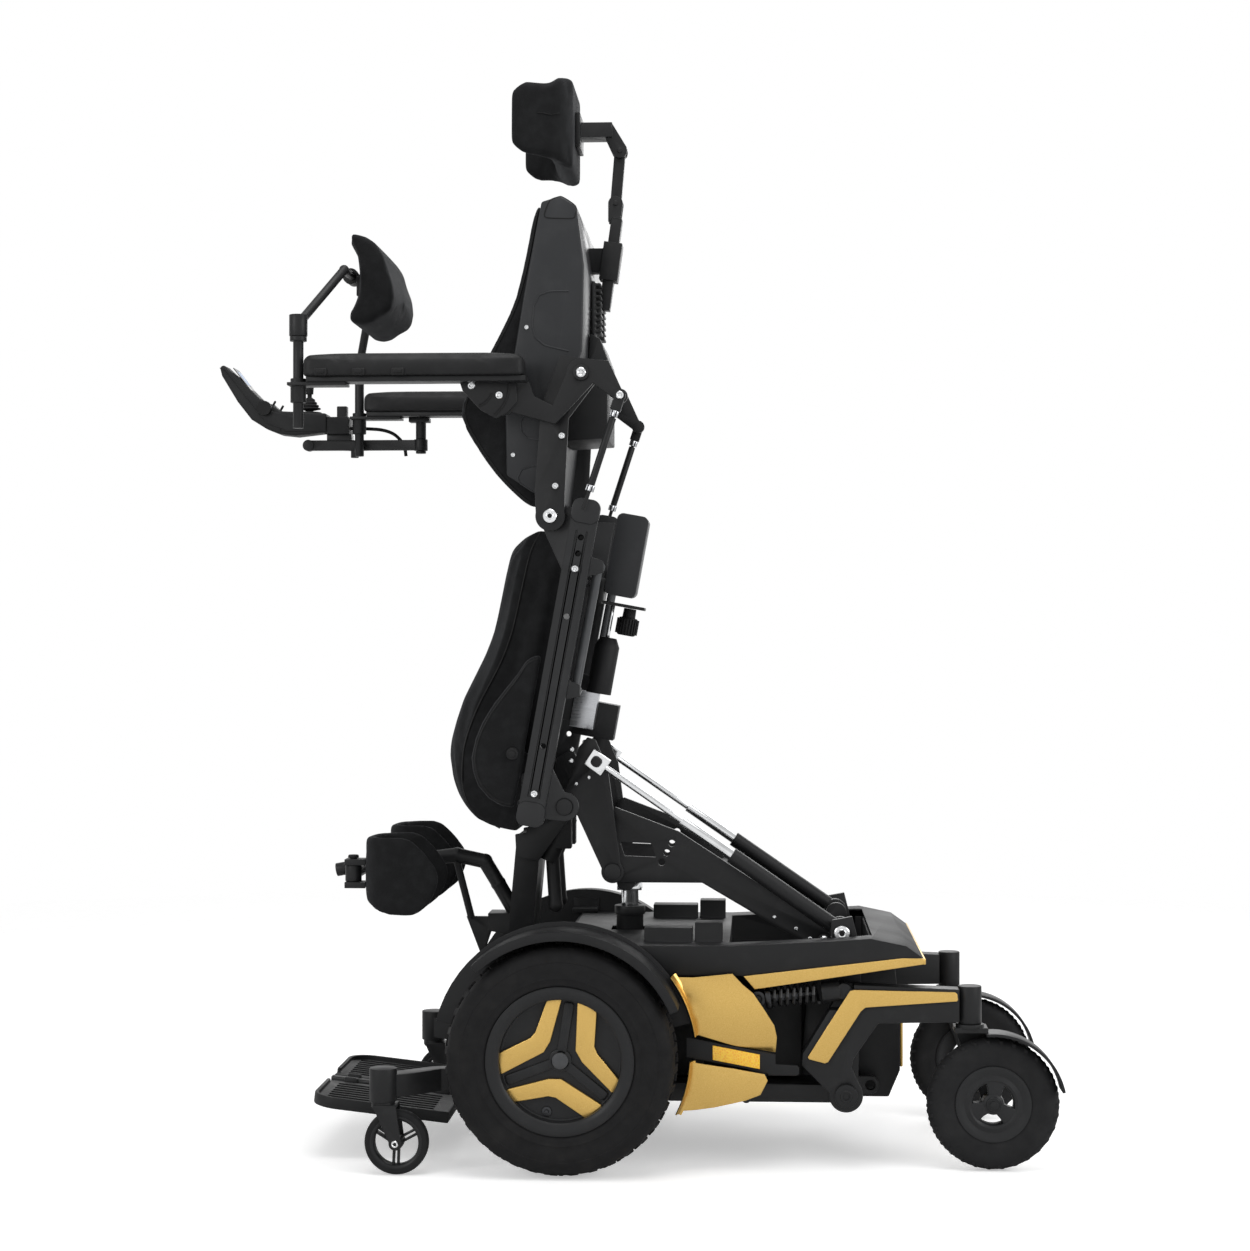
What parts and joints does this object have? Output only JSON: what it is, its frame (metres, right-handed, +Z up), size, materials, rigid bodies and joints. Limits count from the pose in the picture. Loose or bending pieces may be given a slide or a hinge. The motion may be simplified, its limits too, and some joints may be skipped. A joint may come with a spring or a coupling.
{
  "type": "standing wheelchair",
  "caption": "Powered wheelchair in its standing position: tall seat and back over a wheeled base, with armrests, chest and knee pads, footplates and a joystick.",
  "frame": {"origin": "on the floor under the middle of the bounding box", "axes": "-X is the way the chair drives and the rider faces, +Y is the rider's right-hand side as the joystick has it, +Z is up"},
  "size_m": [1.4199, 0.66, 1.7206],
  "materials": {
    "frame_black": "satin black powder coat",
    "cover_black": "moulded black",
    "gold_panel": "metallic gold",
    "amber": "gloss",
    "battery_grey": "moulded",
    "motor_metal": "cast",
    "tyre_black": "matte rubber",
    "hub_paint": "black hub with gold spokes",
    "bright_steel": "polished",
    "steel_grey": "satin",
    "spring_black": "satin",
    "cushion_fabric": "knitted stretch cover",
    "pad_vinyl": "soft vinyl",
    "soft_black": "matte",
    "roller_black": "matte"
  },
  "bodies": {
    "chassis": {"chassis_frame": "frame_black", "base_cover": "cover_black", "side_panels": "gold_panel", "side_reflectors": "amber", "batteries": "battery_grey", "drive_motors": "motor_metal", "wheel_guards": "cover_black", "shock_dampers": "steel_grey", "shock_spring_left": "spring_black", "shock_spring_right": "spring_black"},
    "drive_wheel_left": {"drive_tyre_left": "tyre_black", "drive_rim_left": "hub_paint"},
    "drive_wheel_right": {"drive_tyre_right": "tyre_black", "drive_rim_right": "hub_paint"},
    "swing_left": {"swing_arm_left": "frame_black"},
    "swing_right": {"swing_arm_right": "frame_black"},
    "rear_swivel_left": {"rear_fork_left": "frame_black"},
    "rear_swivel_right": {"rear_fork_right": "frame_black"},
    "rear_roller_left": {"rear_wheel_left": "roller_black"},
    "rear_roller_right": {"rear_wheel_right": "roller_black"},
    "lift": {"lift_arms": "frame_black"},
    "tilt_sleeves": {"tilt_tubes": "frame_black"},
    "tilt_struts": {"tilt_rods": "bright_steel"},
    "push_column": {"lift_column": "frame_black"},
    "push_piston": {"lift_piston": "bright_steel"},
    "knee_carrier": {"carrier": "frame_black"},
    "seat": {"seat_frame": "frame_black", "seat_cushion": "cushion_fabric", "thigh_pads": "cushion_fabric", "seat_motor": "cover_black", "control_module": "cover_black"},
    "back": {"back_frame": "frame_black", "back_shell": "cover_black", "back_cushion": "cushion_fabric", "rear_cover": "cover_black"},
    "head_slide": {"headrest_bar": "frame_black"},
    "head_link": {"headrest_arm": "frame_black"},
    "head": {"headrest_pad": "pad_vinyl"},
    "arm_left": {"armrest_left": "frame_black", "armrest_pad_left": "pad_vinyl"},
    "arm_right": {"armrest_right": "frame_black", "armrest_pad_right": "pad_vinyl"},
    "arm_rod_left": {"armrest_rod_left": "frame_black"},
    "arm_rod_right": {"armrest_rod_right": "frame_black"},
    "chest_swing": {"chest_arm": "frame_black"},
    "chest": {"chest_pad": "cushion_fabric"},
    "stick_swing": {"joystick_arm": "frame_black", "joystick_housing": "cover_black", "joystick_lead": "soft_black"},
    "stick": {"joystick_stick": "soft_black"},
    "legrest": {"leg_frame": "frame_black", "leg_actuator": "cover_black"},
    "knee_left": {"knee_pad_left": "cushion_fabric"},
    "knee_right": {"knee_pad_right": "cushion_fabric"},
    "foot_left": {"footplate_left": "cover_black"},
    "foot_right": {"footplate_right": "cover_black"},
    "front_swivel_left": {"front_fork_left": "frame_black"},
    "front_swivel_right": {"front_fork_right": "frame_black"},
    "front_roller_left": {"front_wheel_left": "roller_black"},
    "front_roller_right": {"front_wheel_right": "roller_black"}
  },
  "joints": [
    {"name": "drive_spin_left", "type": "hinge", "parent": "chassis", "child": "drive_wheel_left", "pos_m": [-0.0555, -0.285, 0.1775], "axis": [0, 1, 0], "continuous": true},
    {"name": "drive_spin_right", "type": "hinge", "parent": "chassis", "child": "drive_wheel_right", "pos_m": [-0.0555, 0.285, 0.1775], "axis": [0, 1, 0], "continuous": true},
    {"name": "swing_left", "type": "hinge", "parent": "chassis", "child": "swing_left", "pos_m": [0.3775, -0.204, 0.114], "axis": [0, 1, 0], "range_deg": [-6, 4], "stiffness_Nm_per_rad": 2500, "springref_deg": 1.95, "deforming": ["shock_spring_left"]},
    {"name": "swing_right", "type": "hinge", "parent": "chassis", "child": "swing_right", "pos_m": [0.3775, 0.204, 0.114], "axis": [0, 1, 0], "range_deg": [-6, 4], "stiffness_Nm_per_rad": 2500, "springref_deg": 1.95, "deforming": ["shock_spring_right"]},
    {"name": "rear_swivel_left", "type": "hinge", "parent": "swing_left", "child": "rear_swivel_left", "pos_m": [0.5675, -0.204, 0.2], "axis": [0, 0, 1], "continuous": true},
    {"name": "rear_spin_left", "type": "hinge", "parent": "rear_swivel_left", "child": "rear_roller_left", "pos_m": [0.6025, -0.204, 0.102], "axis": [0, 1, 0], "continuous": true},
    {"name": "rear_swivel_right", "type": "hinge", "parent": "swing_right", "child": "rear_swivel_right", "pos_m": [0.5675, 0.204, 0.2], "axis": [0, 0, 1], "continuous": true},
    {"name": "rear_spin_right", "type": "hinge", "parent": "rear_swivel_right", "child": "rear_roller_right", "pos_m": [0.6025, 0.204, 0.102], "axis": [0, 1, 0], "continuous": true},
    {"name": "lift_joint", "type": "hinge", "parent": "chassis", "child": "lift", "pos_m": [0.3465, 0, 0.34], "axis": [0, 1, 0], "range_deg": [0, 9]},
    {"name": "carrier_level", "type": "hinge", "parent": "lift", "child": "knee_carrier", "pos_m": [0.0135, 0, 0.447], "axis": [0, 1, 0], "range_deg": [-9, 0]},
    {"name": "tilt_turn", "type": "hinge", "parent": "chassis", "child": "tilt_sleeves", "pos_m": [0.3725, 0, 0.358], "axis": [0, 1, 0], "range_deg": [0, 6.6]},
    {"name": "tilt_extend", "type": "slide", "parent": "tilt_sleeves", "child": "tilt_struts", "axis": [-0.8234, 0, 0.5675], "range_m": [0, 0.015]},
    {"name": "column_turn", "type": "hinge", "parent": "chassis", "child": "push_column", "pos_m": [0.0335, 0, 0.2], "axis": [0, 1, 0], "range_deg": [0, 3.8]},
    {"name": "column_extend", "type": "slide", "parent": "push_column", "child": "push_piston", "axis": [0, 0, 1], "range_m": [0, 0.049]},
    {"name": "stand_to_sit", "type": "hinge", "parent": "knee_carrier", "child": "seat", "pos_m": [-0.0545, 0, 0.556], "axis": [0, 1, 0], "range_deg": [0, 70]},
    {"name": "back_level", "type": "hinge", "parent": "seat", "child": "back", "pos_m": [-0.0755, 0, 1.003], "axis": [0, 1, 0], "range_deg": [-70, 0]},
    {"name": "legrest_level", "type": "hinge", "parent": "seat", "child": "legrest", "pos_m": [-0.0545, 0, 0.556], "axis": [0, 1, 0], "range_deg": [-70, 0]},
    {"name": "headrest_height", "type": "slide", "parent": "back", "child": "head_slide", "axis": [0.1392, 0, 0.9903], "range_m": [-0.015, 0.05]},
    {"name": "headrest_reach", "type": "hinge", "parent": "head_slide", "child": "head_link", "pos_m": [0.0105, 0, 1.526], "axis": [0, 1, 0], "range_deg": [-10, 10]},
    {"name": "headrest_tilt", "type": "hinge", "parent": "head_link", "child": "head", "pos_m": [0.0175, 0, 1.612], "axis": [0, 1, 0], "range_deg": [-12, 12]},
    {"name": "armrest_flip_left", "type": "hinge", "parent": "back", "child": "arm_left", "pos_m": [-0.0265, 0, 1.221], "axis": [0, 1, 0], "range_deg": [0, 28]},
    {"name": "armrest_rod_left", "type": "hinge", "parent": "arm_left", "child": "arm_rod_left", "pos_m": [0.0335, -0.276, 1.185], "axis": [0, 1, 0], "range_deg": [-36, 0]},
    {"name": "armrest_flip_right", "type": "hinge", "parent": "back", "child": "arm_right", "pos_m": [-0.0265, 0, 1.221], "axis": [0, 1, 0], "range_deg": [0, 28]},
    {"name": "armrest_rod_right", "type": "hinge", "parent": "arm_right", "child": "arm_rod_right", "pos_m": [0.0335, 0.276, 1.185], "axis": [0, 1, 0], "range_deg": [-36, 0]},
    {"name": "chest_swing", "type": "hinge", "parent": "arm_left", "child": "chest_swing", "pos_m": [-0.46, -0.28, 1.28], "axis": [0, 0, 1], "range_deg": [0, 100]},
    {"name": "chest_tilt", "type": "hinge", "parent": "chest_swing", "child": "chest", "pos_m": [-0.4235, 0, 1.409], "axis": [0, 1, 0], "range_deg": [-10, 10]},
    {"name": "joystick_swing", "type": "hinge", "parent": "arm_right", "child": "stick_swing", "pos_m": [-0.3535, 0.3, 1.15], "axis": [0, 0, -1], "range_deg": [0, 90]},
    {"name": "joystick_tilt", "type": "hinge", "parent": "stick_swing", "child": "stick", "pos_m": [-0.5525, 0.3, 1.2171], "axis": [0, 1, 0], "range_deg": [-12, 12], "stiffness_Nm_per_rad": 0.6},
    {"name": "knee_pad_turn_left", "type": "hinge", "parent": "legrest", "child": "knee_left", "pos_m": [-0.4005, -0.126, 0.442], "axis": [0, 0, 1], "range_deg": [-12, 12]},
    {"name": "knee_pad_turn_right", "type": "hinge", "parent": "legrest", "child": "knee_right", "pos_m": [-0.4005, 0.126, 0.442], "axis": [0, 0, 1], "range_deg": [-12, 12]},
    {"name": "footplate_fold_left", "type": "hinge", "parent": "legrest", "child": "foot_left", "pos_m": [-0.23905, -0.016, 0.06797], "axis": [-0.9936, 0, 0.1132], "range_deg": [0, 90]},
    {"name": "footplate_fold_right", "type": "hinge", "parent": "legrest", "child": "foot_right", "pos_m": [-0.23905, 0.016, 0.06797], "axis": [0.9936, 0, -0.1132], "range_deg": [0, 90]},
    {"name": "front_swivel_left", "type": "hinge", "parent": "legrest", "child": "front_swivel_left", "pos_m": [-0.3275, -0.285, 0.13], "axis": [0, 0, 1], "continuous": true},
    {"name": "front_spin_left", "type": "hinge", "parent": "front_swivel_left", "child": "front_roller_left", "pos_m": [-0.3065, -0.285, 0.049], "axis": [0, 1, 0], "continuous": true},
    {"name": "front_swivel_right", "type": "hinge", "parent": "legrest", "child": "front_swivel_right", "pos_m": [-0.3275, 0.285, 0.13], "axis": [0, 0, 1], "continuous": true},
    {"name": "front_spin_right", "type": "hinge", "parent": "front_swivel_right", "child": "front_roller_right", "pos_m": [-0.3065, 0.285, 0.049], "axis": [0, 1, 0], "continuous": true}
  ],
  "couplings": [
    {"joint": "carrier_level", "follows": "lift_joint", "ratio": -1},
    {"joint": "tilt_turn", "follows": "lift_joint", "ratio": 0.7141},
    {"joint": "tilt_extend", "follows": "lift_joint", "m_per_rad": 0.09467},
    {"joint": "column_turn", "follows": "lift_joint", "ratio": 0.4073},
    {"joint": "column_extend", "follows": "lift_joint", "m_per_rad": 0.30911},
    {"joint": "back_level", "follows": "stand_to_sit", "ratio": -1},
    {"joint": "legrest_level", "follows": "stand_to_sit", "ratio": -1},
    {"joint": "armrest_rod_left", "follows": "armrest_flip_left", "ratio": -1.232},
    {"joint": "armrest_rod_right", "follows": "armrest_flip_right", "ratio": -1.232}
  ]
}
